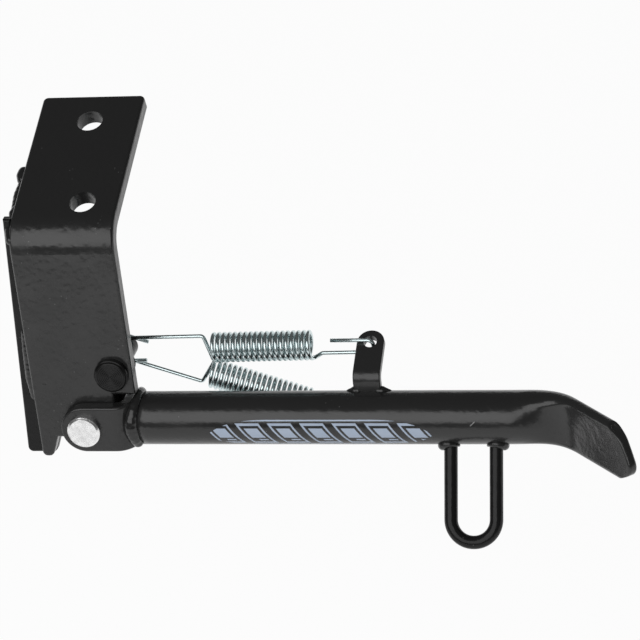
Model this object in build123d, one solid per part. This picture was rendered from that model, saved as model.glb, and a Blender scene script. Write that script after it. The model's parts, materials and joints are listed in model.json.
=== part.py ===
from build123d import *
import os
from math import atan2, cos, degrees, radians, sin, tan

# Motorcycle kickstand: a bent-bar bracket with a spring post, a tubular leg that folds
# about a pivot pin in a clevis, a kick loop, and two return springs.
#
# Everything is drawn in the hinge frame and turned into the mounting frame at the end.
# Hinge frame, millimetres and degrees: the origin is on the pivot axis at the bracket's
# outer face, +X runs along the folded leg, +Y goes through the plates towards the vehicle,
# +Z goes up the plate.
# Mounting frame: the origin is the middle of the mounting face between its two bolt holes,
# +X runs along the folded leg, +Y towards the middle of the vehicle, +Z up into the frame.

# ---------------------------------------------------------------- driving dimensions
# bracket bar
bar_width = 40.0
bar_thickness = 6.0
bar_edge_round = 1.2
finger_corner_radius = 2.0
bend_height = 79.7          # pivot axis to the sharp corner of the bend
bend_inner_radius = 8.0
flange_angle = 67.7         # from the lower plate's line to the flange's line
flange_length = 70.0        # from the sharp corner of the bend
flange_corner_radius = 2.0
bolt_hole_diameter = 10.0
outer_hole_from_end = 13.4
outer_hole_offset = 0.9     # from the bar's centre line, towards the leg
hole_pitch = 41.8           # measured along the bar
inner_hole_offset = 6.4

# lower end of the bracket
lobe_radius = 11.5
shoulder_height = 12.2      # lower edge of the plate above the pivot axis
notch_depth = 5.8           # lower edge of the plate left of the lobe
tail_depth = 14.0           # end of the stop finger below the pivot axis

# backing plate
backing_thickness = 4.0
backing_overhang_top = 3.0
backing_overhang_bottom = 7.7
backing_depth = 15.3
backing_top = 69.0
backing_side_inset = 3.0
backing_edge_round = 1.0
rib_top = 82.0              # top of the strip that stands beside the flange

# pivot
pin_diameter = 12.6
pin_proud_front = 2.3
pin_head_diameter = 15.0
pin_head_height = 1.8
pin_chamfer = 0.8
bush_wall = 1.5
running_clearance = 0.05

# spring post
post_x = 12.3
post_z = 21.0
post_diameter = 8.0
post_head_diameter = 13.0
post_head_height = 3.0
post_head_chamfer = 1.0
post_length = 26.0          # behind the bracket's outer face
post_dome = 3.0
post_weld_leg = 2.5

# clevis
strap_thickness = 5.0
strap_height = 18.6
strap_bend_radius = 3.0
cheek_side_clearance = 0.2
web_distance = 14.0         # pivot axis to the web's inner face
deployed_angle = 110.0
stop_gap = 0.9              # left between the web and the stop finger
strap_edge_round = 1.0

# leg
tube_diameter = 20.0
tube_wall = 2.0
foot_bend_x = 178.5         # pivot axis to the corner of the foot's bend
foot_bend_angle = 46.0
press_start = 16.0          # round tube ends this far before the corner
press_end = 12.0            # flat foot starts this far after the corner
foot_width = 22.0
foot_thickness = 4.8
foot_edge_round = 1.9
foot_short_side = 33.5
foot_long_side = 45.5
foot_tip_drop = 6.0         # height of the foot's tip below its middle
foot_corner_radius = 3.0
foot_tip_round = 0.8

# kick loop
rod_diameter = 5.0
loop_before_bend = 31.9     # loop's middle to the corner of the foot's bend
loop_pitch = 17.0
loop_length = 36.0          # tube axis to the bend's centre is longer by the tube's radius
loop_angle = 28.0           # from straight down towards the outside

# spring ears
ear_width = 10.4
ear_thickness = 3.0
ear_hole_diameter = 5.0
ear_edge_round = 0.6
upper_ear_x = 107.3
upper_ear_y = 20.4
upper_ear_z = 22.7
upper_ear_foot_y = 8.0
upper_ear_lean = 60.0
ear_bend_radius = 2.0
lower_ear_x = 102.0
lower_ear_y = 22.4
lower_ear_z = -10.5
ear_weld_radius = 1.9

# springs
wire_diameter = 1.5
coil_diameter = 11.5
coil_start = 33.8           # from the post's axis
coil_length = 38.8
hook_clearance = 0.05
hook_return = 7.5
tail_hook_length = 15.0
tail_hook_half_height = 2.4
tail_drop = 3.4             # straight part of the ear-side wire below the spring's axis

# weld beads
side_bead_radius = 2.6
side_bead_low = 9.0
side_bead_high = 36.0
flange_bead_radius = 3.0
flange_bead_length = 36.0
flange_bead_depth = 4.5      # bead's middle behind the flange's outer face
flange_bead_start = 2.0      # from the sharp corner of the bend
clevis_bead_radius = 2.0
loop_bead_radius = 1.8
bead_out = 0.3               # a bead's middle lies this share of its radius off its edge
near_full = 0.99             # share of the largest rounding that still leaves a flat
tolerance = 0.01

# ---------------------------------------------------------------- worked-out dimensions
half_bar = bar_width / 2
plate_stack = bar_thickness + backing_thickness
cheek_gap = plate_stack + 2 * cheek_side_clearance
clevis_mid_y = plate_stack / 2
cheek_front_y = clevis_mid_y - cheek_gap / 2 - strap_thickness
cheek_back_y = clevis_mid_y + cheek_gap / 2 + strap_thickness
half_strap = strap_height / 2
web_outer = web_distance + strap_thickness
tube_radius = tube_diameter / 2
rod_radius = rod_diameter / 2
wire_radius = wire_diameter / 2
coil_mean_radius = (coil_diameter - wire_diameter) / 2
hook_radius = post_diameter / 2 + wire_radius + hook_clearance
bush_diameter = pin_diameter + 2 * (running_clearance + bush_wall)
upper_spring_y = upper_ear_y
lower_spring_y = lower_ear_y
inner_corner_drop = bar_thickness * tan(radians(flange_angle / 2))
mount_tilt = 90 - flange_angle

along_flange = Vector(0, sin(radians(flange_angle)), cos(radians(flange_angle)))
off_flange = Vector(0, -cos(radians(flange_angle)), sin(radians(flange_angle)))
bend_corner = Vector(0, 0, bend_height)
outer_hole_s = flange_length - outer_hole_from_end
inner_hole_s = outer_hole_s - hole_pitch
mid_hole_s = (outer_hole_s + inner_hole_s) / 2
mount_origin = bend_corner + along_flange * mid_hole_s

os.makedirs("parts", exist_ok=True)


def save(shape, name):
    """Turns a shape from the hinge frame into the mounting frame and writes it."""
    shift = Pos(-mount_origin.X, -mount_origin.Y, -mount_origin.Z)
    placed = Rot(-mount_tilt, 0, 0) * (shift * shape)
    export_step(placed, f"parts/{name}.step")


def along_y(radius, y_low, y_high, x=0.0, z=0.0):
    """A round bar parallel to the pivot, from y_low to y_high."""
    return bar((x, y_low, z), (x, y_high, z), radius)


def along_x(radius, x_low, x_high):
    """A round bar on the leg tube's axis, from x_low to x_high."""
    return bar((x_low, clevis_mid_y, 0), (x_high, clevis_mid_y, 0), radius)


def plate(outline, y_low, y_high):
    """A plate with an (x, z) outline, from y_low to y_high."""
    corners = [(x, y_low, z) for x, z in outline]
    face = make_face(Polyline(*corners, close=True))
    return extrude(face, amount=y_high - y_low, dir=(0, 1, 0))


def bar(start, end, radius):
    """A round bar between two points."""
    start, end = Vector(*start), Vector(*end)
    direction = (end - start).normalized()
    face = Plane(origin=start, z_dir=direction) * Circle(radius)
    return extrude(face, amount=(end - start).length, dir=direction)


def bead(start, end, radius):
    """A round-ended weld bead between two points, before its neighbours are cut away."""
    return bar(start, end, radius) + Pos(*start) * Sphere(radius) + Pos(*end) * Sphere(radius)


def rod(points, radii, radius):
    """A round wire along straight runs joined by tangent arcs."""
    path = FilletPolyline(*points, radius=radii)
    start = Plane(origin=path @ 0, z_dir=path % 0)
    return sweep(start * Circle(radius), path=path)


def rim_edges(body, y_low, y_high):
    """The edges of a plate's outline on its two faces."""
    flat = [e for e in body.edges() if abs((e @ 0).Y - (e @ 1).Y) < tolerance]
    return [e for e in flat if min(abs((e @ 0.5).Y - y_low), abs((e @ 0.5).Y - y_high)) < tolerance]


# ---------------------------------------------------------------- bracket
def stop_edge_x(z):
    """The stop finger's inner edge: the side of the clevis web at the deployed angle."""
    turn = radians(deployed_angle)
    reach = half_strap + stop_gap
    r = (-reach * cos(turn) - z) / sin(turn)
    return r * cos(turn) - reach * sin(turn)


def lower_outline(left_top, left_bottom, right, depth, top):
    """Plate outline around the pivot lobe, with the stop finger at its lower left."""
    panel = [
        (left_top, top),
        (left_bottom, -depth),
        (stop_edge_x(-depth), -depth),
        (stop_edge_x(-notch_depth), -notch_depth),
        (0, -notch_depth),
        (0, 0),
        (lobe_radius, 0),
        (lobe_radius, shoulder_height),
        (right, shoulder_height),
        (right, top),
    ]
    return panel


def finger_corners(body, depth):
    """The two corners at the stop finger's tip."""
    return [e for e in body.edges().filter_by(Axis.Y) if abs((e @ 0.5).Z + depth) < tolerance]


def bracket_plate():
    out = bar_thickness * off_flange
    front_end = bend_corner + along_flange * flange_length
    low = -2 * backing_depth
    profile = [
        (-half_bar, 0, low),
        (-half_bar, 0, bend_height),
        (-half_bar, front_end.Y, front_end.Z),
        (-half_bar, front_end.Y - out.Y, front_end.Z - out.Z),
        (-half_bar, bar_thickness, bend_height - inner_corner_drop),
        (-half_bar, bar_thickness, low),
    ]
    side = make_face(Polyline(*profile, close=True))
    strip = extrude(side, amount=bar_width, dir=(1, 0, 0))
    outer = [e for e in strip.edges().filter_by(Axis.X) if abs((e @ 0.5).Z - bend_height) < tolerance]
    strip = fillet(outer, bend_inner_radius + bar_thickness)
    inner = [e for e in strip.edges().filter_by(Axis.X)
             if abs((e @ 0.5).Z - bend_height + inner_corner_drop) < tolerance]
    strip = fillet(inner, bend_inner_radius)
    tips = [e for e in strip.edges() if e.length < bar_thickness * 1.01
            and e.length > bar_thickness * 0.99 and (e @ 0.5).Z > bend_height]
    strip = fillet(tips, flange_corner_radius)
    keep_top = bend_height + flange_length
    outline = lower_outline(-half_bar, -half_bar, half_bar, tail_depth, keep_top)
    keep = plate(outline, -flange_length, flange_length * 2)
    keep += along_y(lobe_radius, -flange_length, flange_length * 2)
    keep = fillet(finger_corners(keep, tail_depth), finger_corner_radius)
    strip = strip & keep
    through = [e for e in strip.edges() if abs(e.length - bar_thickness) < 0.05]
    rim = [e for e in strip.edges() if e not in through]
    strip = fillet(rim, bar_edge_round)
    strip -= along_y(bush_diameter / 2, -1, bar_thickness + 1)
    strip -= along_y(post_diameter / 2, -1, bar_thickness + 1, post_x, post_z)
    for s, x in ((outer_hole_s, outer_hole_offset), (inner_hole_s, inner_hole_offset)):
        centre = bend_corner + along_flange * s + Vector(x, 0, 0) + off_flange
        tool = Plane(origin=centre, z_dir=off_flange * -1) * Circle(bolt_hole_diameter / 2)
        strip -= extrude(tool, amount=bar_thickness + 2, dir=off_flange * -1)
    return strip


def backing_plate():
    left_top = -half_bar - backing_overhang_top
    left_bottom = -half_bar - backing_overhang_bottom
    right = half_bar - backing_side_inset
    outline = lower_outline(left_top, left_bottom, right, backing_depth, rib_top)
    body = plate(outline, bar_thickness, plate_stack)
    body += along_y(lobe_radius, bar_thickness, plate_stack)
    over = [(-half_bar, backing_top), (bar_width, backing_top), (bar_width, rib_top + 1), (-half_bar, rib_top + 1)]
    body -= plate(over, bar_thickness - 1, plate_stack + 1)
    body = fillet(finger_corners(body, backing_depth), finger_corner_radius)
    body = fillet(rim_edges(body, bar_thickness, plate_stack), backing_edge_round)
    body -= along_y(bush_diameter / 2, bar_thickness - 1, plate_stack + 1)
    body -= along_y(post_diameter / 2, bar_thickness - 1, plate_stack + 1, post_x, post_z)
    return body


bracket = bracket_plate()
backing = backing_plate()
save(bracket, "bracket_plate")
save(backing, "backing_plate")

edge_run = -half_bar - flange_bead_radius * bead_out
edge_low = bend_corner + along_flange * flange_bead_start - off_flange * flange_bead_depth
edge_high = bend_corner + along_flange * flange_bead_length - off_flange * flange_bead_depth
flange_bead = bead((edge_run, edge_low.Y, edge_low.Z), (edge_run, edge_high.Y, edge_high.Z), flange_bead_radius)
save(flange_bead - bracket - backing, "flange_weld")

side_run = (-half_bar - side_bead_radius * bead_out, bar_thickness - side_bead_radius * bead_out)
side_bead = bead((*side_run, side_bead_low), (*side_run, side_bead_high), side_bead_radius)
save(side_bead - bracket - backing, "side_weld")

bush = along_y(bush_diameter / 2, 0, plate_stack)
bush -= along_y(pin_diameter / 2 + running_clearance, -1, plate_stack + 1)
save(bush, "pivot_bush")

post_shank = along_y(post_diameter / 2, 0, post_length, post_x, post_z)
post_shank = fillet(post_shank.faces().sort_by(Axis.Y)[-1].edges(), post_dome)
post_head = along_y(post_head_diameter / 2, -post_head_height, 0, post_x, post_z)
post_head = chamfer(post_head.faces().sort_by(Axis.Y)[0].edges(), post_head_chamfer)
save(post_shank + post_head, "spring_post")

post_ring = Plane(origin=(post_x, plate_stack, post_z), x_dir=(1, 0, 0), z_dir=(0, 1, 0)) * Pos(
    0, 0, post_weld_leg / 2) * Cone(post_diameter / 2 + post_weld_leg, post_diameter / 2 + 0.2, post_weld_leg)
save(post_ring - along_y(post_diameter / 2, 0, post_length, post_x, post_z), "post_weld")


# ---------------------------------------------------------------- clevis and pin
def clevis_body():
    """A strap bent to a U and rounded at both open ends."""
    outside = [(-half_strap, cheek_front_y), (web_outer, cheek_front_y),
               (web_outer, cheek_back_y), (-half_strap, cheek_back_y)]
    inside = [(-half_strap - 1, cheek_front_y + strap_thickness), (web_distance, cheek_front_y + strap_thickness),
              (web_distance, cheek_back_y - strap_thickness), (-half_strap - 1, cheek_back_y - strap_thickness)]
    solids = []
    for ring, radius, x in ((outside, strap_bend_radius + strap_thickness, web_outer),
                            (inside, strap_bend_radius, web_distance)):
        face = make_face(Polyline(*[(px, py, -half_strap) for px, py in ring], close=True))
        block = extrude(face, amount=strap_height, dir=(0, 0, 1))
        corners = [e for e in block.edges().filter_by(Axis.Z) if abs((e @ 0.5).X - x) < tolerance]
        solids.append(fillet(corners, radius))
    body = solids[0] - solids[1]
    keep = along_y(half_strap, cheek_front_y - 1, cheek_back_y + 1)
    keep += plate([(0, -half_strap), (web_outer + 1, -half_strap), (web_outer + 1, half_strap), (0, half_strap)],
                  cheek_front_y - 1, cheek_back_y + 1)
    body = body & keep
    outer = [e for e in body.edges() if abs(e.length - strap_thickness) > 0.05]
    body = fillet(outer, strap_edge_round)
    return body - along_y(pin_diameter / 2, cheek_front_y - 1, cheek_back_y + 1)


clevis = clevis_body()
save(clevis, "clevis")

pin = along_y(pin_diameter / 2, cheek_front_y - pin_proud_front, cheek_back_y)
pin = chamfer(pin.faces().sort_by(Axis.Y)[0].edges(), pin_chamfer)
pin_head = along_y(pin_head_diameter / 2, cheek_back_y, cheek_back_y + pin_head_height)
pin_head = chamfer(pin_head.faces().sort_by(Axis.Y)[-1].edges(), pin_chamfer)
save(pin + pin_head, "pivot_pin")


# ---------------------------------------------------------------- leg tube and foot
def foot_point(s, z=0.0):
    """A point on the foot's middle surface, s along it from the corner of the bend."""
    turn = radians(foot_bend_angle)
    return (foot_bend_x + s * cos(turn), clevis_mid_y - s * sin(turn), z)


def foot_direction(angle):
    turn = radians(angle)
    return (cos(turn), -sin(turn), 0)


def section(origin, direction, thickness, height, corner):
    """A rounded section across the leg: thickness across it, height along Z."""
    frame = Plane(origin=origin, x_dir=(direction[1], -direction[0], 0), z_dir=direction)
    return frame * RectangleRounded(thickness, height, corner)


def leg_body():
    round_end = foot_bend_x - press_start
    tube = along_x(tube_radius, web_outer, round_end)
    hollow = along_x(tube_radius - tube_wall, web_outer - 1, round_end - 2)
    near_round = tube_radius * near_full
    mid_thickness = (tube_diameter + foot_thickness) / 2
    mid_height = (tube_diameter + foot_width) / 2
    bow = press_end * sin(radians(foot_bend_angle / 2)) * 0.4
    middle = foot_point(0)
    inner = foot_direction(foot_bend_angle / 2 + 90)
    middle = (middle[0] + inner[0] * bow, middle[1] + inner[1] * bow, 0)
    sections = [
        section((round_end, clevis_mid_y, 0), foot_direction(0), tube_diameter, tube_diameter, near_round),
        section(middle, foot_direction(foot_bend_angle / 2), mid_thickness, mid_height, mid_thickness * 0.495),
        section(foot_point(press_end), foot_direction(foot_bend_angle), foot_thickness, foot_width, foot_edge_round),
    ]
    pressed = loft(sections)
    flat = extrude(sections[2], amount=foot_long_side + 10 - press_end, dir=foot_direction(foot_bend_angle))
    half = foot_width / 2
    rim = [
        foot_point(0, half + 1),
        foot_point(foot_short_side, half + 1),
        foot_point(foot_short_side, half),
        foot_point((foot_short_side + 2 * foot_long_side) / 3, half * 0.25),
        foot_point(foot_long_side, -foot_tip_drop),
        foot_point(foot_long_side - foot_tip_drop, -half),
        foot_point(foot_long_side - foot_tip_drop, -half - 1),
        foot_point(0, -half - 1),
    ]
    face = make_face(Polyline(*rim, close=True))
    normal = Vector(*foot_direction(foot_bend_angle + 90))
    trim = extrude(face, amount=foot_width, dir=normal, both=True)
    corners = [e for e in trim.edges() if abs(e.length - 2 * foot_width) < tolerance
               and (e @ 0.5 - Vector(*foot_point(foot_long_side, -foot_tip_drop))).length < 0.1]
    trim = fillet(corners, foot_corner_radius)
    foot = flat & trim
    tip = [e for e in foot.edges() if (e @ 0.5 - Vector(*foot_point(0))).length > foot_short_side * 1.02]
    foot = fillet(tip, foot_tip_round)
    return tube + pressed + foot - hollow


leg = leg_body()
save(leg, "leg_tube")

ring = Plane(origin=(web_outer, clevis_mid_y, 0), z_dir=(1, 0, 0)) * Torus(tube_radius, clevis_bead_radius)
tube_blank = along_x(tube_radius, web_outer, foot_bend_x - press_start)
web_block = Box(strap_thickness * 3, tube_diameter * 2, tube_diameter * 2)
web_block = Pos(web_outer - strap_thickness * 1.5, clevis_mid_y, 0) * web_block
stop_side = Pos(web_outer, clevis_mid_y, -half_strap - tube_diameter / 2) * Box(
    tube_diameter, tube_diameter * 2, tube_diameter)
ring_bead = ring - tube_blank - clevis - web_block - stop_side
save(ring_bead, "clevis_weld")


# ---------------------------------------------------------------- kick loop
def loop_point(x, distance):
    turn = radians(loop_angle)
    return (x, clevis_mid_y - distance * sin(turn), -distance * cos(turn))


loop_x = foot_bend_x - loop_before_bend
loop_left = loop_x - loop_pitch / 2
loop_right = loop_x + loop_pitch / 2
loop_end = tube_radius + loop_length
loop_points = [loop_point(loop_left, tube_radius - rod_radius), loop_point(loop_left, loop_end),
               loop_point(loop_right, loop_end), loop_point(loop_right, tube_radius - rod_radius)]
loop_rod = rod(loop_points, loop_pitch / 2 * near_full, rod_radius)
save(loop_rod - tube_blank, "kick_loop")

for name, x in (("kick_loop_weld_near", loop_left), ("kick_loop_weld_far", loop_right)):
    centre = loop_point(x, tube_radius + loop_bead_radius * bead_out)
    collar = Plane(origin=centre, z_dir=(0, -sin(radians(loop_angle)), -cos(radians(loop_angle))))
    collar_bead = collar * Torus(rod_radius + loop_bead_radius * bead_out, loop_bead_radius)
    loop_leg = bar(loop_point(x, 0), loop_point(x, tube_radius + 2 * rod_diameter), rod_radius)
    save(collar_bead - tube_blank - loop_leg, name)


# ---------------------------------------------------------------- spring ears
def ear_strip(points, x, bend_radius):
    """A flat strip ear_width wide whose middle surface follows points (y, z)."""
    left = x - ear_width / 2
    path = Polyline(*[(left, y, z) for y, z in points]) if len(points) < 3 else FilletPolyline(
        *[(left, y, z) for y, z in points], radius=bend_radius)
    start = Plane(origin=path @ 0, x_dir=(1, 0, 0), z_dir=path % 0)
    blank = start * Pos(ear_width / 2, 0) * Rectangle(ear_width, ear_thickness)
    return sweep(blank, path=path)


def finished_ear(points, hole, x, bend_radius):
    """Rounds the ear's end, drills it, and cuts its foot to the tube."""
    direction = Vector(0, points[-1][0] - points[-2][0], points[-1][1] - points[-2][1]).normalized()
    across = Plane(origin=(x, hole[0], hole[1]), x_dir=(1, 0, 0), z_dir=direction.cross(Vector(1, 0, 0)))
    body = ear_strip(points, x, bend_radius)
    end = body.edges().filter_by(lambda e: abs(e.length - ear_thickness) < tolerance)
    far = [e for e in end if (e @ 0.5 - Vector(x, points[-1][0], points[-1][1])).length < ear_width * 0.6]
    body = fillet(far, ear_width / 2 * near_full)
    rim = [e for e in body.edges() if abs(e.length - ear_thickness) > 0.05]
    body = fillet(rim, ear_edge_round)
    body -= extrude(across * Circle(ear_hole_diameter / 2), amount=ear_thickness * 2, both=True)
    return body - tube_blank


def ear_end(hole, back):
    """The strip's end, half an ear width beyond the hole's centre."""
    length = ((hole[0] - back[0]) ** 2 + (hole[1] - back[1]) ** 2) ** 0.5
    reach = (length + ear_width / 2) / length
    return (back[0] + (hole[0] - back[0]) * reach, back[1] + (hole[1] - back[1]) * reach)


upper_hole = (upper_ear_y, upper_ear_z)
lean = radians(upper_ear_lean)
upper_knee = (upper_ear_foot_y, upper_ear_z - (upper_ear_y - upper_ear_foot_y) / tan(lean))
upper_foot = (upper_ear_foot_y, tube_radius * 0.6)
upper_points = [upper_foot, upper_knee, ear_end(upper_hole, upper_knee)]
upper_ear = finished_ear(upper_points, upper_hole, upper_ear_x, ear_bend_radius + ear_thickness / 2)
save(upper_ear, "upper_ear")

lower_hole = (lower_ear_y, lower_ear_z)
radial = atan2(lower_ear_z, lower_ear_y - clevis_mid_y)
lower_foot = (clevis_mid_y + 0.8 * tube_radius * cos(radial), 0.8 * tube_radius * sin(radial))
lower_points = [lower_foot, ear_end(lower_hole, lower_foot)]
lower_ear = finished_ear(lower_points, lower_hole, lower_ear_x, 0)
save(lower_ear, "lower_ear")


def ear_welds(ear, x, angle):
    """One bead each side of the ear's foot, on the tube's surface at an angle above +Y."""
    turn = radians(angle)
    touch = (clevis_mid_y + tube_radius * cos(turn), tube_radius * sin(turn))
    along = (-sin(turn), cos(turn))
    beads = []
    for side in (-1, 1):
        bx = x + side * (ear_width / 2 + ear_weld_radius * bead_out)
        low = (bx, touch[0] - along[0] * ear_thickness * 0.4, touch[1] - along[1] * ear_thickness * 0.4)
        high = (bx, touch[0] + along[0] * ear_thickness * 0.4, touch[1] + along[1] * ear_thickness * 0.4)
        beads.append(bead(low, high, ear_weld_radius) - tube_blank - ear)
    return Compound(children=beads)


upper_foot_angle = degrees(atan2((tube_radius ** 2 - (upper_ear_foot_y - clevis_mid_y) ** 2) ** 0.5,
                                 upper_ear_foot_y - clevis_mid_y))
save(ear_welds(upper_ear, upper_ear_x, upper_foot_angle), "upper_ear_welds")
save(ear_welds(lower_ear, lower_ear_x, degrees(radial)), "lower_ear_welds")


# ---------------------------------------------------------------- springs
def spring(name, hole_x, hole_z, y, side, ear_normal):
    """A tension spring from the post to an ear, in the plane y.

    The coil is a plain tube of the closely wound coil's size. The post-side wire meets the
    coil's end on one side of the axis and goes round the post. The ear-side wire goes through the
    ear's hole and turns back along ear_normal."""
    post = Vector(post_x, y, post_z)
    axis = (Vector(hole_x, y, hole_z) - post).normalized()
    up = Vector(-axis.Z, 0, axis.X)

    def at(u, v, w=0.0):
        p = post + axis * u + up * v + ear_normal * w
        return (p.X, p.Y, p.Z)

    coil_end = coil_start + coil_length
    coil_face = Plane(origin=at(coil_start, 0), z_dir=axis) * (
        Circle(coil_diameter / 2) - Circle(coil_diameter / 2 - wire_diameter))
    coil = extrude(coil_face, amount=coil_length, dir=axis)
    lead = wire_diameter
    post_wire = rod([at(coil_start, -side * coil_mean_radius), at(coil_start - lead, -side * coil_mean_radius),
                     at(coil_start - 2 * lead, side * hook_radius), at(-hook_radius, side * hook_radius),
                     at(-hook_radius, -side * hook_radius), at(hook_return, -side * hook_radius)],
                    [wire_radius * 1.3, wire_radius * 1.3, hook_radius * near_full, hook_radius * near_full], wire_radius)
    save(Compound(children=[coil, post_wire]), f"{name}_coil")
    hole = Vector(hole_x, y, hole_z)

    def by_ear(left, w):
        p = hole + Vector(-left, 0, 0) + ear_normal * w
        return (p.X, p.Y, p.Z)

    turn_back = ear_hole_diameter / 2 - wire_diameter - hook_clearance
    bend = tail_hook_half_height * near_full
    ear_wire = rod([at(coil_end, -coil_mean_radius), at(coil_end + lead, -coil_mean_radius),
                    at(coil_end + 3 * lead, -tail_drop), by_ear(ear_width * 0.8, -tail_hook_half_height),
                    by_ear(turn_back, -tail_hook_half_height), by_ear(turn_back, tail_hook_half_height),
                    by_ear(tail_hook_length, tail_hook_half_height)],
                   [wire_diameter, wire_diameter, wire_diameter, bend, bend], wire_radius)
    save(ear_wire, f"{name}_hook")


upper_normal = Vector(0, -cos(lean), sin(lean))
lower_normal = Vector(0, -sin(radial), cos(radial))
spring("upper_spring", upper_ear_x, upper_ear_z, upper_spring_y, 1, upper_normal)
spring("lower_spring", lower_ear_x, lower_ear_z, lower_spring_y, -1, lower_normal)
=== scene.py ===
import json
import math

import bpy
import numpy as np
from mathutils import Matrix, Vector


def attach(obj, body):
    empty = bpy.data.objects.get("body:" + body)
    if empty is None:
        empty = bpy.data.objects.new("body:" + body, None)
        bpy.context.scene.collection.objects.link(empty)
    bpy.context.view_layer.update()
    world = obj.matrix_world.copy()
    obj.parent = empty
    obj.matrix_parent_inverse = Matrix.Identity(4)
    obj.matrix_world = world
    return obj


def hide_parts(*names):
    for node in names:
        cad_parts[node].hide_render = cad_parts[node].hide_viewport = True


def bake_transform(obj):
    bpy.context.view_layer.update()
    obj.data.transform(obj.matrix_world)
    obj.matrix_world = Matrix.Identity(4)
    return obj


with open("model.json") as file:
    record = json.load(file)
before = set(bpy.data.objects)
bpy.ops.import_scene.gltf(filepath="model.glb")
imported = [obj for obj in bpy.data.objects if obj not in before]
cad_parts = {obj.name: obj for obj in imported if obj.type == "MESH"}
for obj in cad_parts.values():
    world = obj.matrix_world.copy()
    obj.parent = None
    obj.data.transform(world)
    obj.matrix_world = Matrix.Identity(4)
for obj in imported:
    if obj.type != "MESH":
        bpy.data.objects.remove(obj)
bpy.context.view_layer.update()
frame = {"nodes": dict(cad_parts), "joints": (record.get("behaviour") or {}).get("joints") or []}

# A motorcycle side stand, folded. Shapes are drawn in millimetres in the hinge frame: x along the
# folded leg from the pivot, y along the pivot pin from the bracket's outer face towards the
# vehicle, z up the bracket's lower plate. Finishes, floor, lamps and camera are in metres.
MM = 0.001
TUBE_AXIS_Y = 5.0             # the middle of tube and clevis, behind the bracket's outer face
TUBE_RADIUS = 10.0

# ---------------------------------------------------------------- places taken from the frame
leg_fold = next(joint for joint in frame["joints"] if joint["name"] == "leg_fold")
hinge_x = np.array([1.0, 0.0, 0.0])
hinge_y = np.array(leg_fold["axis"])
hinge_z = np.cross(hinge_x, hinge_y)
hinge_axes = np.stack([hinge_x, hinge_y, hinge_z])
pivot = np.array(leg_fold["pos_m"]) - TUBE_AXIS_Y * MM * hinge_y


def to_row(points):
    """Hinge-frame points to the row frame, in metres: the pivot plus each coordinate along its
    axis."""
    return pivot + np.asarray(points, float) * MM @ hinge_axes


# ---------------------------------------------------------------- meshes from arrays
def new_object(name, data):
    thing = bpy.data.objects.new(name, data)
    bpy.context.scene.collection.objects.link(thing)
    return thing


def mesh_piece(name, vertices, faces, material):
    """An object from an array of vertices, smooth, with one material."""
    mesh = bpy.data.meshes.new(name)
    mesh.from_pydata(vertices.tolist(), [], faces)
    mesh.shade_smooth()
    mesh.materials.append(material)
    return new_object(name, mesh)


def grid_faces(rows, columns, ring):
    """Quads between neighbouring rows, and a fan at both ends unless the last row joins the
    first."""
    row = np.arange(rows if ring else rows - 1)[:, None]
    column = np.arange(columns)[None, :]
    after = (column + 1) % columns
    below = (row + 1) % rows
    quads = np.stack(np.broadcast_arrays(row * columns + column, row * columns + after,
                                         below * columns + after, below * columns + column), -1)
    faces = quads.reshape(-1, 4).tolist()
    if not ring:
        around = np.arange(columns)
        turned = (around + 1) % columns
        end = (rows - 1) * columns
        first, last = rows * columns, rows * columns + 1
        faces += np.stack([turned, around, np.full(columns, first)], -1).tolist()
        faces += np.stack([end + around, end + turned, np.full(columns, last)], -1).tolist()
    return faces


def grid_piece(name, grids, material, ring=False):
    """One piece from (rows, columns, 3) grids whose rows follow a path and close round it.

    A ring joins its last row to its first; otherwise each end closes on the mean of its row."""
    vertices, faces, count = [], [], 0
    for points in grids:
        own = points.reshape(-1, 3)
        if not ring:
            own = np.vstack([own, points[0].mean(0), points[-1].mean(0)])
        faces += [[corner + count for corner in face]
                  for face in grid_faces(*points.shape[:2], ring)]
        vertices.append(own)
        count += len(own)
    return mesh_piece(name, np.vstack(vertices), faces, material)


ODD_DIRECTION = (0.31, 0.52, 0.79)     # no path starts along it


def transported_frames(path):
    """Two unit vectors across the path at each point, carried along it without twist."""
    tangent = np.gradient(path, axis=0)
    tangent /= np.linalg.norm(tangent, axis=1, keepdims=True)
    side = np.cross(tangent[0], ODD_DIRECTION)
    sides = np.empty_like(path)
    for index, direction in enumerate(tangent):
        side = side - direction * (side @ direction)
        side = side / np.linalg.norm(side)
        sides[index] = side
    return tangent, sides, np.cross(tangent, sides)


def round_along(path, radius, columns):
    """A circle of that radius, or one radius a point, carried along the path."""
    tangent, side, other = transported_frames(path)
    angle = np.linspace(0, 2 * math.pi, columns, endpoint=False)
    radius = np.broadcast_to(np.asarray(radius, float), (len(path),))[:, None, None]
    ring = (side[:, None] * np.cos(angle)[None, :, None]
            + other[:, None] * np.sin(angle)[None, :, None])
    return path[:, None] + radius * ring


def rounded_path(points, radii, steps=8):
    """Straight runs through the points, with each inner corner replaced by a tangent arc.

    The arc of radius r touches both runs at r times the tangent of half the turn."""
    points = np.asarray(points, float)
    radii = np.broadcast_to(radii, (len(points) - 2,))
    out = [points[:1]]
    for before, corner, after, radius in zip(points, points[1:], points[2:], radii):
        arrive = (corner - before) / np.linalg.norm(corner - before)
        leave = (after - corner) / np.linalg.norm(after - corner)
        turn = math.acos(np.clip(arrive @ leave, -1, 1))
        reach = radius * math.tan(turn / 2)
        inward = leave - arrive
        inward /= np.linalg.norm(inward)
        centre = corner + inward * radius / math.cos(turn / 2)
        angle = np.linspace(-turn / 2, turn / 2, steps)[:, None]
        along = arrive + leave
        along /= np.linalg.norm(along)
        out.append(centre - inward * radius * np.cos(angle) + along * radius * np.sin(angle))
    out.append(points[-1:])
    return np.vstack(out)


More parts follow.
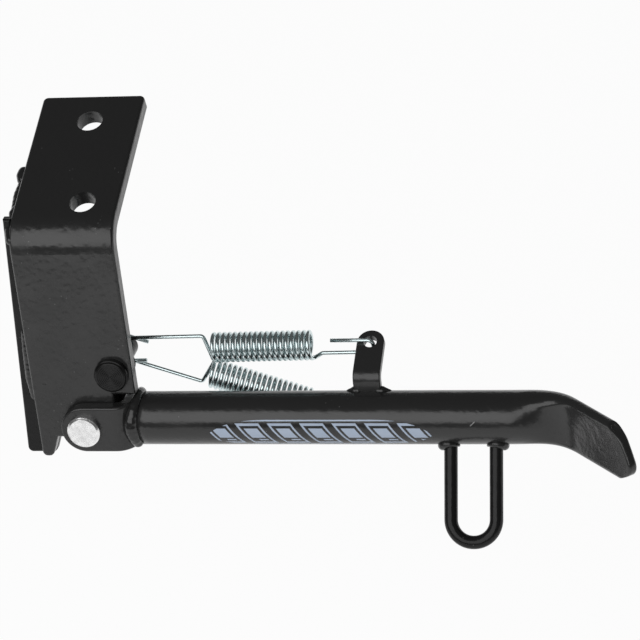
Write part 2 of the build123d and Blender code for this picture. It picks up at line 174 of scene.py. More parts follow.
def filled(path, step):
    """The path with points added so that none are further apart than step."""
    pieces = []
    for a, b in zip(path, path[1:]):
        count = max(1, int(np.ceil(np.linalg.norm(b - a) / step)))
        pieces.append(a + (b - a) * np.linspace(0, 1, count, endpoint=False)[:, None])
    return np.vstack(pieces + [path[-1:]])


def without_repeats(path):
    """The path without points that lie on the one before."""
    gap = np.linalg.norm(np.diff(path, axis=0), axis=1)
    return path[np.concatenate([[True], gap > 1e-6])]


# ---------------------------------------------------------------- shader building
class Signal:
    """A shader socket that takes part in sums and products."""

    def __init__(self, finish, socket):
        self.finish = finish
        self.socket = socket

    def maths(self, operation, *values):
        return self.finish.add("ShaderNodeMath", {"operation": operation}, dict(enumerate(values)))

    def __add__(self, other):
        return self.maths("ADD", self, other)

    __radd__ = __add__

    def __sub__(self, other):
        return self.maths("SUBTRACT", self, other)

    def __rsub__(self, other):
        return self.maths("SUBTRACT", other, self)

    def __mul__(self, other):
        return self.maths("MULTIPLY", self, other)

    __rmul__ = __mul__

    def __truediv__(self, other):
        return self.maths("DIVIDE", self, other)

    def __pow__(self, other):
        return self.maths("POWER", self, other)

    def __lt__(self, other):
        return self.maths("LESS_THAN", self, other)

    def __gt__(self, other):
        return self.maths("GREATER_THAN", self, other)

    def absolute(self):
        return self.maths("ABSOLUTE", self)

    def largest(self, other):
        return self.maths("MAXIMUM", self, other)

    def sine(self):
        return self.maths("SINE", self)

    def angle_above(self, other):
        """The angle of a point this high and that far out."""
        return self.maths("ARCTAN2", self, other)

    def remainder(self, size):
        return self.maths("FLOORED_MODULO", self, size)

    def ramp(self, low, high, to_low=0.0, to_high=1.0):
        """Goes smoothly from to_low at low to to_high at high."""
        return self.finish.add("ShaderNodeMapRange", {"interpolation_type": "SMOOTHSTEP"},
                               {"Value": self, "From Min": low, "From Max": high,
                                "To Min": to_low, "To Max": to_high})


class Finish:
    """A material with one shader at its output, built from signals."""

    def __init__(self, name, shader="ShaderNodeBsdfPrincipled", **fixed):
        self.material = bpy.data.materials.new(name)
        self.material.use_nodes = True
        self.tree = self.material.node_tree
        self.tree.nodes.clear()
        self.shader = self.tree.nodes.new(shader)
        output = self.tree.nodes.new("ShaderNodeOutputMaterial")
        self.tree.links.new(self.shader.outputs[0], output.inputs["Surface"])
        self.drive(**fixed)

    def feed(self, node, sockets):
        """Sets each socket's value, or links it where the value is a signal."""
        for key, value in sockets.items():
            if isinstance(value, Signal):
                self.tree.links.new(value.socket, node.inputs[key])
            else:
                node.inputs[key].default_value = value

    def drive(self, **sockets):
        """Feeds the shader's sockets, whose names have _ for a space."""
        self.feed(self.shader, {key.replace("_", " "): value for key, value in sockets.items()})
        return self.material

    def add(self, kind, settings=None, sockets=None, output=0):
        """Adds a node, sets its settings, then feeds its sockets."""
        node = self.tree.nodes.new(kind)
        for key, value in (settings or {}).items():
            setattr(node, key, value)
        self.feed(node, sockets or {})
        return Signal(self, node.outputs[output])

    def place(self):
        """Object coordinates, in metres."""
        return self.add("ShaderNodeTexCoord", output="Object")

    def vector_maths(self, operation, *vectors, output="Vector"):
        return self.add("ShaderNodeVectorMath", {"operation": operation},
                        dict(enumerate(vectors)), output)

    def noise(self, scale, detail=2.0, roughness=0.5):
        return self.add("ShaderNodeTexNoise", {}, {"Vector": self.place(), "Scale": scale,
                                                   "Detail": detail, "Roughness": roughness})

    def cells(self, scale):
        """Distance to the nearest of scattered points."""
        return self.add("ShaderNodeTexVoronoi", {"feature": "F1"},
                        {"Vector": self.place(), "Scale": scale})

    def mix(self, share, first, second):
        """A colour from first to second."""
        return self.add("ShaderNodeMix", {"data_type": "RGBA"}, {0: share, 6: first, 7: second},
                        output=2)

    def bump(self, height, distance):
        return self.add("ShaderNodeBump", {}, {"Height": height, "Distance": distance,
                                               "Strength": 1.0})


def grey(level):
    return (level, level, level, 1.0)


# ---------------------------------------------------------------- finishes
PRINT_START = 47.0 * MM       # along the tube from the pivot
PRINT_LENGTH = 86.0 * MM
PRINT_MIDDLE = math.radians(-13.0)     # above the tube's outward side
PRINT_HALF_HEIGHT = 6.3 * MM
PRINT_PITCH = 12.3 * MM
SCRATCH_X = 148.0 * MM
SCRATCH_HALF_LENGTH = 0.9 * MM
SCRATCH_ANGLE = math.radians(13.0)
SCRATCH_SLOPE = 90.0          # radians per metre
SCRATCH_HALF_WIDTH = 0.022    # radians


def tube_place(finish):
    """Metres along the leg tube from the pivot, and the angle above its outward side, radians."""
    tube_axis = pivot + TUBE_AXIS_Y * MM * hinge_y
    middle = finish.vector_maths("SUBTRACT", finish.place(), tuple(tube_axis))
    along, out, up = (finish.vector_maths("DOT_PRODUCT", middle, tuple(axis), output="Value")
                      for axis in (hinge_x, -hinge_y, hinge_z))
    return along, up.angle_above(out)


def specks(finish, scale, size, rarity):
    """Scattered small dots: cells nearer than size to their point, where a slow noise is high."""
    dots = finish.cells(scale).ramp(size * 0.5, size, 1.0, 0.0)
    return dots * finish.noise(scale * 0.15, 0.0).ramp(rarity, rarity + 0.06)


def powder_coat(name, base, peel_scale, peel_depth, roughness, ior=1.5):
    """Black powder coat: orange peel, a few pits, pale dust, and slightly uneven gloss."""
    finish = Finish(name, IOR=ior)
    pit = specks(finish, scale=130.0, size=0.12, rarity=0.56)
    dust = specks(finish, scale=520.0, size=0.15, rarity=0.63)
    peel = finish.noise(peel_scale, 0.6, 0.4) + finish.noise(peel_scale * 4.0, 1.0) * 0.08
    return finish.drive(Base_Color=finish.mix(dust * 0.4, grey(base), grey(0.25)),
                        Roughness=finish.noise(60.0, 3.0).ramp(0.35, 0.65, *roughness),
                        Normal=finish.bump(peel - pit * 0.6, peel_depth))


def printed_strip(finish, along, angle):
    """A generic printed strip: slanted outlined bars with solid cores, joined by fine rules.

    Limits are shares of the bars' pitch along the tube and of the half height across it."""
    across = (angle - PRINT_MIDDLE) * (TUBE_RADIUS * MM) / PRINT_HALF_HEIGHT
    share = (along - PRINT_START) / PRINT_LENGTH
    taper = 1 - (share * 2 - 1).absolute() ** 6.0
    inside = (share > 0.0) * (share < 1.0) * (across.absolute() < taper)
    slant = (along / PRINT_PITCH + across * 0.34).remainder(1.0)
    bar = (slant < 0.74) * (across.absolute() < 0.78)
    hollow = (slant > 0.07) * (slant < 0.67) * (across.absolute() < 0.62)
    core = (slant > 0.16) * (slant < 0.58) * (across > -0.22) * (across < 0.46)
    lower_core = (slant > 0.30) * (slant < 0.58) * (across > -0.46) * (across < -0.34)
    rules = (across.absolute() > 0.90) * (across.absolute() < 0.99)
    return inside * (bar * (1 - hollow)).largest(core).largest(lower_core).largest(rules)


def leg_finish():
    """Satin black on the leg, with the printed strip, fine peel, dust and one short scratch."""
    finish = Finish("leg satin black", IOR=1.5)
    along, angle = tube_place(finish)
    mark = printed_strip(finish, along, angle)
    scratch_along = along - SCRATCH_X
    scratch_off = angle - SCRATCH_ANGLE - scratch_along * SCRATCH_SLOPE
    scratch = ((scratch_along.absolute() < SCRATCH_HALF_LENGTH)
               * (scratch_off.absolute() < SCRATCH_HALF_WIDTH))
    dust = specks(finish, scale=520.0, size=0.14, rarity=0.64) * 0.3
    paint = finish.mix(dust.largest(scratch * 0.8), grey(0.023), grey(0.40))
    ink = finish.mix(finish.noise(220.0, 2.0), (0.46, 0.56, 0.72, 1), (0.58, 0.67, 0.81, 1))
    peel = finish.noise(700.0, 2.0) + finish.noise(190.0, 2.0) * 4.0
    return finish.drive(Base_Color=finish.mix(mark, paint, ink),
                        Roughness=(finish.noise(45.0, 3.0).ramp(0.3, 0.7, 0.18, 0.25)
                                   + mark * 0.12),
                        Normal=finish.bump(peel + mark * 0.5, 0.05 * MM))


def zinc(name, tint, roughness):
    """Bright zinc plate: a cool tint that drifts, a fine grain, uneven gloss."""
    finish = Finish(name, Metallic=1.0)
    shade = (tint[0] * 0.80, tint[1] * 0.86, tint[2] * 0.86, 1)
    return finish.drive(Base_Color=finish.mix(finish.noise(160.0, 3.0), tint, shade),
                        Roughness=finish.noise(900.0, 2.0).ramp(0.3, 0.7, *roughness),
                        Normal=finish.bump(finish.noise(1400.0, 2.0), 0.03 * MM))


def turned(name, axis, ring_pitch, depth, base, roughness, **fixed):
    """Lathe-turned metal: fine rings round an axis along the pivot pin, and uneven gloss.

    The axis is given by its x and z."""
    finish = Finish(name, **fixed)
    away = finish.vector_maths("SUBTRACT", finish.place(), tuple(to_row((axis[0], 0, axis[1]))))
    across = finish.vector_maths("CROSS_PRODUCT", away, tuple(hinge_y))
    reach = finish.vector_maths("LENGTH", across, output="Value")
    rings = (reach * (2 * math.pi / ring_pitch)).sine()
    grain = finish.noise(500.0, 3.0)
    shade = tuple(0.75 * level for level in base[:3]) + (1,)
    return finish.drive(Base_Color=finish.mix(grain, base, shade),
                        Roughness=grain.ramp(0.3, 0.7, *roughness),
                        Normal=finish.bump(rings * 0.5 + grain, depth))


POST = (12.3, 21.0)           # x and z of the spring post's axis
PIN = (0.0, 0.0)              # and of the pivot pin's and the bush's
bracket_paint = powder_coat("bracket powder coat", base=0.022, peel_scale=470.0,
                            peel_depth=0.15 * MM, roughness=(0.21, 0.29))
# The backing plate has the bracket's black paint, given a darker base and a lower IOR as painted
# shade.
backing_paint_darkened_as_shade = powder_coat("backing powder coat", base=0.012, peel_scale=470.0,
                            peel_depth=0.15 * MM, roughness=(0.21, 0.29), ior=1.30)
# The kick loop has the same black powder coat, given a darker base and a lower IOR as painted
# shade.
loop_paint_darkened_as_shade = powder_coat("kick loop powder coat", base=0.012, peel_scale=480.0,
                         peel_depth=0.10 * MM, roughness=(0.18, 0.26), ior=1.30)
weld_paint = powder_coat("painted weld", base=0.017, peel_scale=380.0,
                         peel_depth=0.30 * MM, roughness=(0.16, 0.26))
ear_paint = powder_coat("ear powder coat", base=0.025, peel_scale=480.0,
                        peel_depth=0.10 * MM, roughness=(0.18, 0.26))
leg_paint = leg_finish()
spring_zinc = zinc("spring zinc", tint=(0.70, 0.78, 0.79, 1), roughness=(0.16, 0.28))
pin_steel = turned("turned pin steel", PIN, ring_pitch=0.5 * MM, depth=0.012 * MM,
                   base=grey(0.97), roughness=(0.20, 0.32), Metallic=1.0)
post_steel = turned("blackened post", POST, ring_pitch=0.7 * MM, depth=0.10 * MM,
                    base=grey(0.010), roughness=(0.14, 0.24), IOR=1.28)
bush_bronze = turned("bush bronze", PIN, ring_pitch=0.4 * MM, depth=0.01 * MM,
                     base=(0.62, 0.40, 0.17, 1), roughness=(0.25, 0.4), Metallic=1.0)

for material, nodes in (
        (bracket_paint, ("bracket_plate", "clevis")),
        (backing_paint_darkened_as_shade, ("backing_plate",)),
        (bush_bronze, ("pivot_bush",)),
        (pin_steel, ("pivot_pin",)),
        (post_steel, ("spring_post",)),
        (leg_paint, ("leg_tube",)),
        (loop_paint_darkened_as_shade, ("kick_loop",)),
        (ear_paint, ("upper_ear", "lower_ear")),
        (weld_paint, ("post_weld", "upper_ear_welds", "lower_ear_welds", "flange_weld",
                      "side_weld", "clevis_weld", "kick_loop_weld_near", "kick_loop_weld_far")),
        (spring_zinc, ("upper_spring_coil", "upper_spring_hook",
                       "lower_spring_coil", "lower_spring_hook"))):
    for node in nodes:
        for slot in frame["nodes"][node].material_slots:
            slot.material = material


# ---------------------------------------------------------------- springs
WIRE_RADIUS = 0.75
WIRE_COLUMNS = 14
COIL_RADIUS = 5.0             # to the wire's middle
COIL_START = 33.8             # from the post's axis
COIL_LENGTH = 38.8
COIL_TURNS = 19
FIRST_TURN = 0.06             # the helix starts this share of a turn on
POINTS_A_TURN = 36
POST_HOOK_RADIUS = 4.8
POST_HOOK_BEND = POST_HOOK_RADIUS * 0.99
POST_HOOK_RETURN = 7.5
CROSSING = (2.9, 0.35)        # before the coil, where the wire starts and ends crossing its end
COIL_ENTRY = (0.15, -0.9)     # along and outwards from the coil's start
CROSSING_BENDS = (1.3, 0.3)
TAIL = ((0.4, 0.0, 0.3), (1.0, 0.2, 0.0))    # along, inwards and outwards from the coil's end
TAIL_RUN = 3.4
TAIL_BENDS = (0.5, 1.4, 2.0, 2.0)
EAR_HOOK_HALF_HEIGHT = 2.4
EAR_HOOK_LENGTH = 15.0
EAR_HOLE_REACH = 0.95         # wire's middle beyond the hole's middle
EAR_WIRE_DROP = 3.4
UPPER_EAR_HOLE = (107.3, 20.4, 22.7)
LOWER_EAR_HOLE = (102.0, 22.4, -10.5)
UPPER_EAR_LEAN = math.radians(60.0)


def spring(name, hole, post_side, ear_normal):
    """One wire from the post to an ear.

    The wire goes round the post in a half circle, runs straight, and crosses the coil's end. The
    coil is a helix: across the axis it is the mean radius times the cosine and sine of the turn,
    and along the axis it advances evenly. The wire leaves the bottom of the last turn, passes
    behind the ear, comes through its hole and turns back over the ear's edge."""
    post = np.array([POST[0], hole[1], POST[1]])
    hole = np.asarray(hole, float)
    axis = (hole - post) / np.linalg.norm(hole - post)
    up = np.array([-axis[2], 0.0, axis[0]])
    out = np.array([0.0, -1.0, 0.0])

    def at(u, v, w=0.0):
        return post + axis * u + up * v + out * w

    def by_ear(left, w):
        return hole + np.array([-left, 0, 0]) + ear_normal * w

    across = POST_HOOK_RADIUS * post_side
    start_v = -COIL_RADIUS * post_side
    hook = [at(POST_HOOK_RETURN, -across), at(-POST_HOOK_RADIUS, -across),
            at(-POST_HOOK_RADIUS, across), at(COIL_START - CROSSING[0], across),
            at(COIL_START - CROSSING[1], start_v),
            at(COIL_START + COIL_ENTRY[0], start_v, COIL_ENTRY[1])]
    near = rounded_path(hook, (POST_HOOK_BEND, POST_HOOK_BEND, *CROSSING_BENDS))[:-1]
    turn = np.linspace(FIRST_TURN, COIL_TURNS + (0.0 if post_side > 0 else 0.5),
                       COIL_TURNS * POINTS_A_TURN)
    angle = turn * 2 * math.pi
    advance = COIL_START + turn / turn[-1] * COIL_LENGTH
    helix = (post + axis * advance[:, None] + up * (start_v * np.cos(angle))[:, None]
             - out * (COIL_RADIUS * post_side * np.sin(angle))[:, None])
    coil_end = COIL_START + COIL_LENGTH
    far = rounded_path([*(at(coil_end + u, v - COIL_RADIUS, w) for u, v, w in TAIL),
                        at(coil_end + TAIL_RUN, -EAR_WIRE_DROP),
                        hole + axis * EAR_HOLE_REACH - up * EAR_WIRE_DROP,
                        by_ear(-EAR_HOLE_REACH, EAR_HOOK_HALF_HEIGHT),
                        by_ear(EAR_HOOK_LENGTH, EAR_HOOK_HALF_HEIGHT)], TAIL_BENDS)
    path = without_repeats(np.vstack([near, helix, far]))
    piece = grid_piece(name, [to_row(round_along(path, WIRE_RADIUS, WIRE_COLUMNS))], spring_zinc)
    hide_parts(f"{name}_coil", f"{name}_hook")
    tuple(to_row(at(COIL_START, 0)))
    tuple(to_row(at(coil_end, 0)))
    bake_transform(piece)


lower_ear_lean = math.atan2(LOWER_EAR_HOLE[2], LOWER_EAR_HOLE[1] - TUBE_AXIS_Y)
for name, hole, post_side, lean_cos, lean_sin in (
        ("upper_spring", UPPER_EAR_HOLE, 1, math.cos(UPPER_EAR_LEAN), math.sin(UPPER_EAR_LEAN)),
        ("lower_spring", LOWER_EAR_HOLE, -1, math.sin(lower_ear_lean), math.cos(lower_ear_lean))):
    spring(name, hole, post_side, np.array([0, -lean_cos, lean_sin]))


# ---------------------------------------------------------------- leg tube and pressed foot
LEG_START = 19.0              # the clevis web's outer face
APPROACH = 11.0               # closer rows from this far before the bend
FOOT_CORNER = 178.5           # from the pivot to where the tube's line meets the foot's line
FOOT_ANGLE = math.radians(46.0)
BEND_LENGTH = 25.0            # along the leg's middle line
PRESS_BEFORE = 19.0           # the tube starts to flatten this far before the corner
FOOT_DISH = 0.22              # the pressed faces' middle is thinner by this share
FOOT_HALF_THICKNESS = 2.4
FOOT_HALF_WIDTH = 10.5
FOOT_MIDDLE_Z = 0.5
FOOT_EDGE_ROUND = 1.9
FOOT_RIM_ROUND = 1.3
FOOT_REACH_HEIGHTS = (-10.5, -8.6, -6.6, -4.6, -2.4, 2.0, 6.5, 9.0, 11.0)
FOOT_REACHES = (37.4, 41.8, 44.2, 45.4, 45.5, 43.5, 40.9, 37.4, 33.8)
OUTLINE_BLUR = 1.2            # the outline's reach is a mean over this height either way
FLAT_HALF_HEIGHT = 7.0        # the rim rounds the face's edges outside this
STRAIGHT_ROWS = 30
APPROACH_ROWS = 14
BEND_ROWS = 60
FACE_ROWS = 33
FACE_ROW_CROWDING = 0.85
RIM_ROWS = 8
BLUR_STEPS = 9
FACE_COLUMNS = 40
FLAT_SHARE = 0.7              # share of a face's columns that are flat on the foot


def smooth_share(value, low, high):
    """0 below low, 1 above high, and three times the square less twice the cube between."""
    share = np.clip((value - low) / (high - low), 0, 1)
    return share * share * (3 - 2 * share)


def leg_section(share):
    """A rounded rectangle's columns for each row, down one face and up the other.

    A column is a point of a box plus a point of a circle. The box's point runs up the face over
    the middle of its columns. The circle's angle is spread evenly for the round tube at share 0,
    and taken up by the outer columns for the flat foot at share 1."""
    radius, thick, high = ((TUBE_RADIUS + (foot - TUBE_RADIUS) * share)[:, None]
                           for foot in (FOOT_EDGE_ROUND, FOOT_HALF_THICKNESS, FOOT_HALF_WIDTH))
    t = (np.arange(FACE_COLUMNS) + 0.5) / FACE_COLUMNS * 2 - 1
    corner = np.sign(t) * np.maximum(0, (np.abs(t) - FLAT_SHARE) / (1 - FLAT_SHARE))
    angle = (t + (corner - t) * share[:, None]) * math.pi / 2
    across = thick - radius + radius * np.cos(angle)
    up = ((high - radius) * np.clip(t / FLAT_SHARE, -1, 1) + radius * np.sin(angle)
          + (FOOT_MIDDLE_Z * share)[:, None])
    return np.hstack([-across, across[:, ::-1]]), np.hstack([up, up[:, ::-1]])


def leg_surface():
    """The leg: a section carried along a straight run, a bend and a second straight run.

    Along the bend the angle follows a smooth share of its length, and the middle line is the
    running sum of short steps at that angle. The bend starts where it has to for the two straight
    runs to meet at the foot's corner. Each column of the foot ends at its own reach, read from the
    foot's outline at its height, and the last rows pull the faces together in a quarter circle
    for the rim."""
    bend = np.linspace(0, BEND_LENGTH, BEND_ROWS + 1)
    halfway = FOOT_ANGLE * smooth_share((bend[1:] + bend[:-1]) / 2, 0, BEND_LENGTH)
    forward = np.concatenate([[0], np.cumsum(np.cos(halfway)) * bend[1]])
    down = np.concatenate([[0], np.cumsum(np.sin(halfway)) * bend[1]])
    bend_start = FOOT_CORNER - forward[-1] + down[-1] / math.tan(FOOT_ANGLE)
    far_reach = down[-1] / math.sin(FOOT_ANGLE)

    straight = np.concatenate([
        np.linspace(LEG_START, bend_start - APPROACH - 1, STRAIGHT_ROWS),
        np.linspace(bend_start - APPROACH, bend_start, APPROACH_ROWS)])
    face = np.linspace(0, 1, FACE_ROWS + 1)[1:, None] ** FACE_ROW_CROWDING
    rim = np.linspace(0, math.pi / 2, RIM_ROWS + 1)[1:, None]
    flat = np.zeros(FACE_ROWS + RIM_ROWS)
    run = np.concatenate([straight, bend_start + bend[1:], flat + bend_start + BEND_LENGTH])
    share = smooth_share(run, FOOT_CORNER - PRESS_BEFORE, bend_start + BEND_LENGTH)
    angle = FOOT_ANGLE * smooth_share(run, bend_start, bend_start + BEND_LENGTH)[:, None]
    middle_x = np.concatenate([straight, bend_start + forward[1:], flat + bend_start + forward[-1]])
    middle_y = TUBE_AXIS_Y - np.concatenate([np.zeros(len(straight)), down[1:], flat + down[-1]])

    across, up = leg_section(share)
    across *= 1 - FOOT_DISH * share[:, None] * np.clip(1 - (up / FOOT_HALF_WIDTH) ** 2, 0, 1)
    heights = up[-1] + np.linspace(-OUTLINE_BLUR, OUTLINE_BLUR, BLUR_STEPS)[:, None]
    reach = np.interp(heights, FOOT_REACH_HEIGHTS, FOOT_REACHES).mean(0)
    face_reach = reach - FOOT_RIM_ROUND - far_reach
    extra = np.vstack([np.zeros((len(run) - len(flat), len(reach))), face * face_reach,
                       face_reach + FOOT_RIM_ROUND * np.sin(rim)])
    pull = np.vstack([np.zeros((len(run) - RIM_ROWS, 1)), FOOT_RIM_ROUND * (1 - np.cos(rim))])
    thinner = np.abs(across) - pull * np.minimum(1, np.abs(across) / 2)
    across = np.sign(across) * np.maximum(thinner, 0.0)
    off_middle = up - FOOT_MIDDLE_Z
    lower = pull * smooth_share(np.abs(off_middle), FLAT_HALF_HEIGHT, FOOT_HALF_WIDTH)
    up = FOOT_MIDDLE_Z + np.sign(off_middle) * (np.abs(off_middle) - lower)
    x = middle_x[:, None] - across * np.sin(angle) + extra * np.cos(angle)
    y = middle_y[:, None] - across * np.cos(angle) - extra * np.sin(angle)
    return np.stack([x, y, up], -1)


def leg_piece():
    """The leg's mesh: its round end closes with a fan, its rim with a ladder between the faces."""
    points = leg_surface()
    rows, columns = points.shape[:2]
    faces = grid_faces(rows, columns, False)[:rows * columns]
    near = np.arange(FACE_COLUMNS - 1)
    mirror = columns - 1 - near
    ladder = np.stack([near, near + 1, mirror - 1, mirror], -1) + (rows - 1) * columns
    vertices = np.vstack([points.reshape(-1, 3), points[0].mean(0)])
    piece = mesh_piece("leg_with_foot", to_row(vertices), faces + ladder.tolist(), leg_paint)
    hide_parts("leg_tube")
    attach(piece, "leg")


leg_piece()


# ---------------------------------------------------------------- weld beads
BEAD_STEP = 0.22
BEAD_COLUMNS = 24
BEAD_RIPPLE = 0.012


def bead_radius(length, radius, ripple, unevenness, seed, ends=True):
    """Bead radius along its length: a short sine ripple plus three slow sines, domed at both
    ends."""
    waves = np.random.default_rng(seed)
    mean = np.mean(radius)
    phase = waves.uniform(0, 2 * math.pi, 4)
    slow = sum(np.sin(length / (mean * (2.3 + 1.7 * k)) + phase[k]) for k in range(3)) / 3
    short = np.sin(length / ripple * 2 * math.pi + phase[3])
    size = radius * (1 + BEAD_RIPPLE * short + unevenness * slow)
    if ends:
        near_end = np.minimum(length, length[-1] - length)
        dome = 1 - np.clip(1 - near_end / radius, 0, 1) ** 2
        size = size * np.sqrt(np.clip(dome, 0.001, 1))
    return size


def smoothed(path, passes=60):
    """The path with each inner point moved halfway to the mean of its neighbours, several times."""
    for _ in range(passes):
        path[1:-1] = (path[:-2] + 2 * path[1:-1] + path[2:]) / 4
    return path


def weld(node, body, runs, ripple, unevenness, seed, ring=False):
    """Beads along paths, each with its radius, in place of the CAD's plain ones."""
    grids = []
    for index, (path, radius) in enumerate(runs):
        path = filled(np.asarray(path, float), BEAD_STEP)
        path = path[:-1] if ring else smoothed(path)
        length = np.concatenate([[0], np.cumsum(np.linalg.norm(np.diff(path, axis=0), axis=1))])
        share = np.linspace(0, 1, len(path))
        radius = np.interp(share, np.linspace(0, 1, np.size(radius)), np.atleast_1d(radius))
        size = bead_radius(length, radius, ripple, unevenness, seed + index, not ring)
        grids.append(to_row(round_along(path, size, BEAD_COLUMNS)))
    piece = grid_piece(f"{node}_bead", grids, weld_paint, ring)
    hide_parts(node)
    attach(piece, body)


BAR_HALF_WIDTH = 20.0
BEND_HEIGHT = 79.7            # where the lower plate's face meets the flange's
FLANGE_LEAN = math.radians(67.7)       # from the lower plate
along_flange = np.array([0, math.sin(FLANGE_LEAN), math.cos(FLANGE_LEAN)])
off_flange = np.array([0, -math.cos(FLANGE_LEAN), math.sin(FLANGE_LEAN)])


def by_flange(*places):
    """Points by the flange's left edge: along it from the bend, behind its face, out from its
    side."""
    return [np.array([-BAR_HALF_WIDTH - out, 0, BEND_HEIGHT]) + along_flange * along
            - off_flange * behind for along, behind, out in places]


weld("flange_weld", "bracket", [
    (by_flange((-1.0, 5.4, -0.6), (5, 4.9, 0.5), (13, 5.0, 0.3), (22, 4.6, 0.6), (31, 4.9, 0.2)),
     (1.6, 2.5, 2.2, 2.6, 2.1)),
    (by_flange((28.0, 5.0, 0.3), (33, 3.9, 1.3), (36.3, 4.4, 0.5)), (2.0, 2.7, 2.3)),
    (by_flange((8, 3.6, 0.1), (12, 3.2, 0.5), (17, 3.8, 0.1)), (1.2, 2.0, 1.2))],
     ripple=2.1, unevenness=0.10, seed=3)
weld("side_weld", "bracket", [
    ([(-20.6, 5.4, 7.5), (-20.9, 5.0, 16), (-20.8, 5.1, 26), (-20.6, 5.4, 38)],
     (1.9, 2.6, 2.4, 1.8))],
     ripple=1.9, unevenness=0.05, seed=11)


def clevis_seam(low, high, steps=160):
    """Points round the leg tube where it meets the clevis, from one angle above its outward side to
    another, degrees, and the bead's radius there. At the sides, where the strap bends away from the
    tube, the bead lies nearer the pivot and is thicker, by the square of the angle's cosine. It is
    less thick on the vehicle's side, where the springs pass."""
    angle = np.radians(np.linspace(low, high, steps))
    sideways = np.cos(angle) ** 2
    reach = 10.1 - 1.3 * sideways
    thicker = np.where(np.cos(angle) > 0, 1.2, 0.3) * sideways
    path = np.stack([20.0 - 2.0 * sideways, TUBE_AXIS_Y - reach * np.cos(angle),
                     reach * np.sin(angle)], -1)
    return path, 1.7 + thicker


weld("clevis_weld", "leg", [clevis_seam(-58, 238)], ripple=2.0, unevenness=0.05, seed=21)

EAR_BEAD_RADII = (1.3, 1.9, 1.8, 1.1, 0.5)
weld("upper_ear_welds", "leg", [
    ([(105.6, 8, 9.4), (103.9, 8, 9.6), (102.2, 8, 9.6), (100.5, 8, 9.3), (98.8, 8, 9.1)],
     EAR_BEAD_RADII),
    ([(109.2, 8, 9.4), (110.9, 8, 9.6), (112.6, 8, 9.6), (114.5, 8, 9.3), (116.4, 8, 9.1)],
     EAR_BEAD_RADII)],
     ripple=1.8, unevenness=0.03, seed=51)

LOOP_ANGLE = math.radians(28.0)
LOOP_NEAR_X = 138.1
LOOP_FAR_X = 155.1
COLLAR_RADIUS = 2.5 + 0.45    # the rod's, and the bead's middle outside it
COLLAR_RISE = 0.35            # the bead's middle outside the tube
loop_down = np.array([0, -math.sin(LOOP_ANGLE), -math.cos(LOOP_ANGLE)])
loop_side = np.array([0, -math.cos(LOOP_ANGLE), math.sin(LOOP_ANGLE)])


def loop_collar(x, outward, steps=90):
    """The curve where a rod meets the tube: a circle whose height along the rod follows the tube,
    the square root of the tube's radius squared less the offset across it squared. The bead's
    radius follows the angle's cosine, thick on the loop's outward side and thin inside it."""
    angle = np.linspace(0, 2 * math.pi, steps + 1)[:, None]
    offset = COLLAR_RADIUS * np.sin(angle)
    height = np.sqrt(TUBE_RADIUS ** 2 - offset ** 2) + COLLAR_RISE
    path = (np.array([x, TUBE_AXIS_Y, 0]) + hinge_x * COLLAR_RADIUS * np.cos(angle)
            + loop_side * offset + loop_down * height)
    return path, 1.2 + 0.65 * outward * np.cos(angle[:, 0])


weld("kick_loop_weld_near", "leg", [loop_collar(LOOP_NEAR_X, -1)],
     ripple=1.6, unevenness=0.10, seed=31, ring=True)
weld("kick_loop_weld_far", "leg", [loop_collar(LOOP_FAR_X, 1)],
     ripple=1.6, unevenness=0.10, seed=41, ring=True)


# ---------------------------------------------------------------- floor, lamps, camera
FLOOR_GAP = 2.0 * MM
FLOOR_HALF_SIDE = 6.0
WHITE_SHARE = 0.96            # of the floor's look that is plain white
AIM = Vector(to_row((94.53, 0, 42.80)))


def lowest_leg_point(steps=23):
    """Height of the leg's lowest point over its whole swing.

    A point turned about the hinge keeps its share along the axis; its height follows the rest of it
    times the cosine of the angle, plus the cross product with the axis times the sine."""
    mesh = frame["nodes"]["leg_tube"].data
    corners = np.empty(len(mesh.vertices) * 3)
    mesh.vertices.foreach_get("co", corners)
    arm = corners.reshape(-1, 3) - np.array(leg_fold["pos_m"])
    along = (arm @ hinge_y)[:, None] * hinge_y
    turn = np.radians(np.linspace(*leg_fold["range_deg"], steps))[:, None]
    heights = (along[:, 2] + (arm - along)[:, 2] * np.cos(turn)
               + np.cross(hinge_y, arm)[:, 2] * np.sin(turn))
    return heights.min() + leg_fold["pos_m"][2]


def floor_finish():
    """Matt white that shows as plain white to the camera and in gloss, and keeps the shadow."""
    finish = Finish("floor white", "ShaderNodeMixShader")
    camera, gloss, through = (finish.add("ShaderNodeLightPath", output=f"Is {ray} Ray")
                              for ray in ("Camera", "Glossy", "Transmission"))
    matt = finish.add("ShaderNodeBsdfDiffuse", {}, {"Color": grey(0.80)})
    white = finish.add("ShaderNodeEmission")
    seen = camera.largest(gloss.largest(through)) * WHITE_SHARE
    finish.feed(finish.shader, {0: seen, 1: matt, 2: white})
    return finish.material


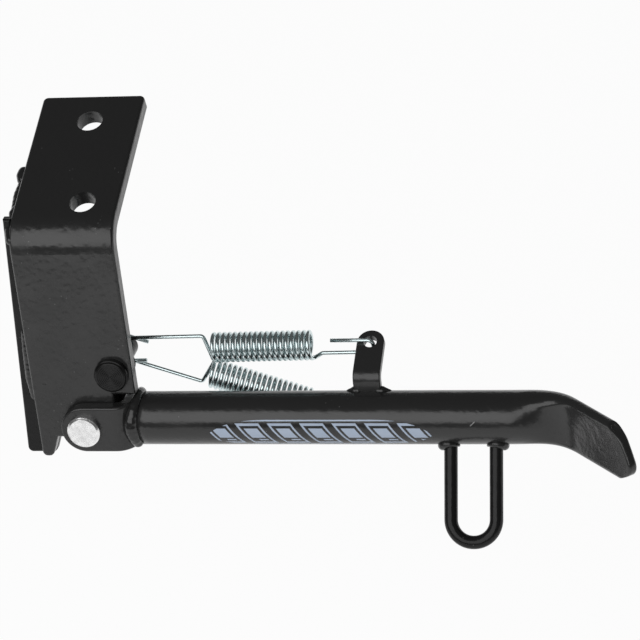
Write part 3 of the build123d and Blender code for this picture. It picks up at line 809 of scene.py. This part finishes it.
floor_z = lowest_leg_point() - FLOOR_GAP
floor_corners = FLOOR_HALF_SIDE * np.array([(-1, -1, 0), (1, -1, 0), (1, 1, 0), (-1, 1, 0)])
floor_corners[:, 2] = floor_z
mesh_piece("floor", floor_corners, [(0, 1, 2, 3)], floor_finish())

world = bpy.data.worlds.new("studio")
bpy.context.scene.world = world
world.use_nodes = True
world.node_tree.nodes["Background"].inputs["Color"].default_value = grey(0.5)
world.node_tree.nodes["Background"].inputs["Strength"].default_value = 0.22


def soft_box(name, direction, distance, width, height, power):
    """A rectangular lamp in that direction, facing the object."""
    lamp = bpy.data.lights.new(name, "AREA")
    lamp.shape = "RECTANGLE"
    lamp.size = width
    lamp.size_y = height
    lamp.energy = power
    box = new_object(name, lamp)
    towards = Vector(direction).normalized()
    box.location = AIM + towards * distance
    box.rotation_euler = towards.to_track_quat("Z", "Y").to_euler()


soft_box("key softbox", (-0.24, -0.64, 0.73),
         distance=1.0, width=1.3, height=0.85, power=6.8)
soft_box("low front card", (-0.20, -1.0, -0.005),
         distance=1.15, width=1.6, height=0.11, power=0.65)

SENSOR_WIDTH = 36.0
LENS = SENSOR_WIDTH * 3685.25 / 640
FAR_LIMIT = 50.0


def looking_camera(azimuth, elevation, roll, distance):
    """A camera on the object's outer side, placed in the hinge frame by two angles and a roll,
    degrees, and its distance in millimetres."""
    a, e, r = (math.radians(v) for v in (azimuth, elevation, roll))
    back = np.array([math.sin(a) * math.cos(e), -math.cos(a) * math.cos(e), math.sin(e)])
    level = np.array([math.cos(a), math.sin(a), 0.0])
    over = np.cross(back, level)
    right = math.cos(r) * level - math.sin(r) * over
    top = math.sin(r) * level + math.cos(r) * over
    right, top, back = (Vector(v @ hinge_axes) for v in (right, top, back))
    lens = bpy.data.cameras.new("camera")
    lens.sensor_width = SENSOR_WIDTH
    lens.lens = LENS
    lens.clip_end = FAR_LIMIT
    camera = new_object("camera", lens)
    turn = Matrix((right, top, back)).transposed().to_4x4()
    camera.matrix_world = Matrix.Translation(AIM + back * distance * MM) @ turn
    bpy.context.scene.camera = camera


looking_camera(azimuth=15.20, elevation=25.58, roll=7.14, distance=1343.51)
bpy.context.scene.view_settings.view_transform = "Standard"
